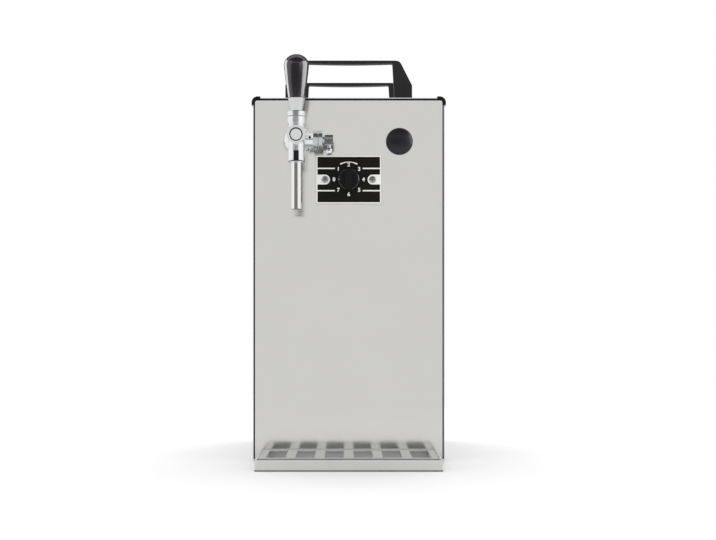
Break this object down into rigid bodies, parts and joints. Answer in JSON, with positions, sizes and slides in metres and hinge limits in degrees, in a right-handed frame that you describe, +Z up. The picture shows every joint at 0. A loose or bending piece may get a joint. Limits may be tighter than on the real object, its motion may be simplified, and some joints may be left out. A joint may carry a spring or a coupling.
{
  "type": "draft beer dispenser",
  "caption": "Countertop draft beer cooler in a polished steel case with a chrome lever tap, thermostat dial, carry handles, slotted drip tray and rear hose stubs.",
  "frame": {"origin": "middle of the footprint of casing, drip tray and hose stubs, on the table", "axes": "+Z up, the tap and the drip tray towards -Y, +X to the right as seen from the front"},
  "size_m": [0.1816, 0.3744, 0.3839],
  "materials": {
    "front_steel": "polished stainless sheet, half mirror",
    "cover_steel": "brushed stainless sheet",
    "rear_steel": "satin steel sheet",
    "chassis_steel": "zinc coated sheet",
    "tray_steel": "brushed stainless sheet",
    "grille_steel": "brushed stainless sheet",
    "chrome": "bright chrome",
    "spout_steel": "polished stainless tube",
    "turned_steel": "turned stainless steel",
    "knurled_metal": "knurled, dark plated metal",
    "fastener_zinc": "zinc plated steel",
    "black_trim": "soft black moulding",
    "handle_plastic": "fine-grained black nylon",
    "knob_gloss": "glossy black phenolic",
    "plug_plastic": "smooth black moulding",
    "scale_print": "printed black plate",
    "dial_plastic": "black moulding",
    "switch_plastic": "black moulding",
    "rubber": "black rubber",
    "thermostat_case": "cream moulding",
    "foam": "rigid foam",
    "aluminium": "cast aluminium",
    "copper": "copper tube",
    "brass": "turned brass",
    "compressor_paint": "black enamel",
    "fan_plastic": "black moulding",
    "pump_case": "dark grey moulding"
  },
  "bodies": {
    "casing": {"front_panel": "front_steel", "wrap_cover": "cover_steel", "rear_panel": "rear_steel", "base_pan": "chassis_steel", "block_shelf": "chassis_steel", "tap_flange": "chrome", "coupling_nut": "chrome", "tap_body": "chrome", "tap_front_cap": "chrome", "compensator_housing": "chrome", "spout_tube": "spout_steel", "tap_shank": "turned_steel", "lever_pivot_pin": "turned_steel", "beer_coil": "turned_steel", "beer_inlet": "turned_steel", "feet_screws": "fastener_zinc", "rear_panel_screws": "fastener_zinc", "handle_screws": "fastener_zinc", "thermostat_screws": "fastener_zinc", "front_edge_trim": "black_trim", "corner_caps": "black_trim", "front_carry_handle": "handle_plastic", "rear_carry_handle": "handle_plastic", "blanking_plug": "plug_plastic", "thermostat_plate": "scale_print", "power_inlet": "switch_plastic", "switch_frames": "switch_plastic", "rubber_feet": "rubber", "compressor_grommets": "rubber", "thermostat_housing": "thermostat_case", "insulation_box": "foam", "insulation_lid": "foam", "cooling_core": "aluminium", "condenser": "aluminium", "evaporator_coil": "copper", "filter_drier": "copper", "discharge_pipe": "copper", "capillary_tube": "copper", "sensing_bulb": "copper", "shank_nut": "brass", "air_outlet": "brass", "compressor": "compressor_paint", "fan_shroud": "fan_plastic", "air_pump": "pump_case"},
    "tap_lever": {"lever_stem": "turned_steel", "lever_collar": "chrome", "lever_ferrule": "chrome", "lever_knob": "knob_gloss"},
    "tap_valve": {"valve_plunger": "turned_steel", "plunger_o_rings": "rubber"},
    "compensator_dial": {"compensator_spindle": "turned_steel", "compensator_knob": "knurled_metal", "compensator_lever": "chrome"},
    "thermostat_dial": {"thermostat_knob": "dial_plastic", "thermostat_shaft": "turned_steel"},
    "tray": {"drip_tray": "tray_steel"},
    "grille": {"drip_grille": "grille_steel"},
    "fan": {"fan_rotor": "fan_plastic"},
    "cooling_rocker": {"cooling_switch": "switch_plastic"},
    "pump_rocker": {"pump_switch": "switch_plastic"}
  },
  "joints": [
    {"name": "tap_lever_tilt", "type": "hinge", "parent": "casing", "child": "tap_lever", "pos_m": [-0.0473, -0.1408, 0.3102], "axis": [1, 0, 0], "range_deg": [-14, 20]},
    {"name": "tap_valve_slide", "type": "slide", "parent": "casing", "child": "tap_valve", "axis": [0, 1, 0], "range_m": [-0.0027, 0.0038]},
    {"name": "compensator_turn", "type": "hinge", "parent": "casing", "child": "compensator_dial", "pos_m": [-0.0473, -0.1218, 0.2971], "axis": [1, 0, 0], "range_deg": [-80, 80]},
    {"name": "thermostat_turn", "type": "hinge", "parent": "casing", "child": "thermostat_dial", "pos_m": [0, -0.0948, 0.2634], "axis": [0, 1, 0], "range_deg": [0, 315]},
    {"name": "tray_pull", "type": "slide", "parent": "casing", "child": "tray", "axis": [0, -1, 0], "range_m": [0, 0.15]},
    {"name": "grille_lift", "type": "slide", "parent": "tray", "child": "grille", "axis": [0, 0, 1], "range_m": [0, 0.08]},
    {"name": "fan_spin", "type": "hinge", "parent": "casing", "child": "fan", "pos_m": [0, 0.1418, 0.0662], "axis": [0, 1, 0], "continuous": true},
    {"name": "cooling_rocker_tilt", "type": "hinge", "parent": "casing", "child": "cooling_rocker", "pos_m": [0.024, 0.1657, 0.3], "axis": [1, 0, 0], "range_deg": [-18, 0]},
    {"name": "pump_rocker_tilt", "type": "hinge", "parent": "casing", "child": "pump_rocker", "pos_m": [0.052, 0.1657, 0.3], "axis": [1, 0, 0], "range_deg": [-18, 0]}
  ],
  "couplings": [
    {"joint": "tap_valve_slide", "follows": "tap_lever_tilt", "m_per_rad": 0.010876}
  ]
}
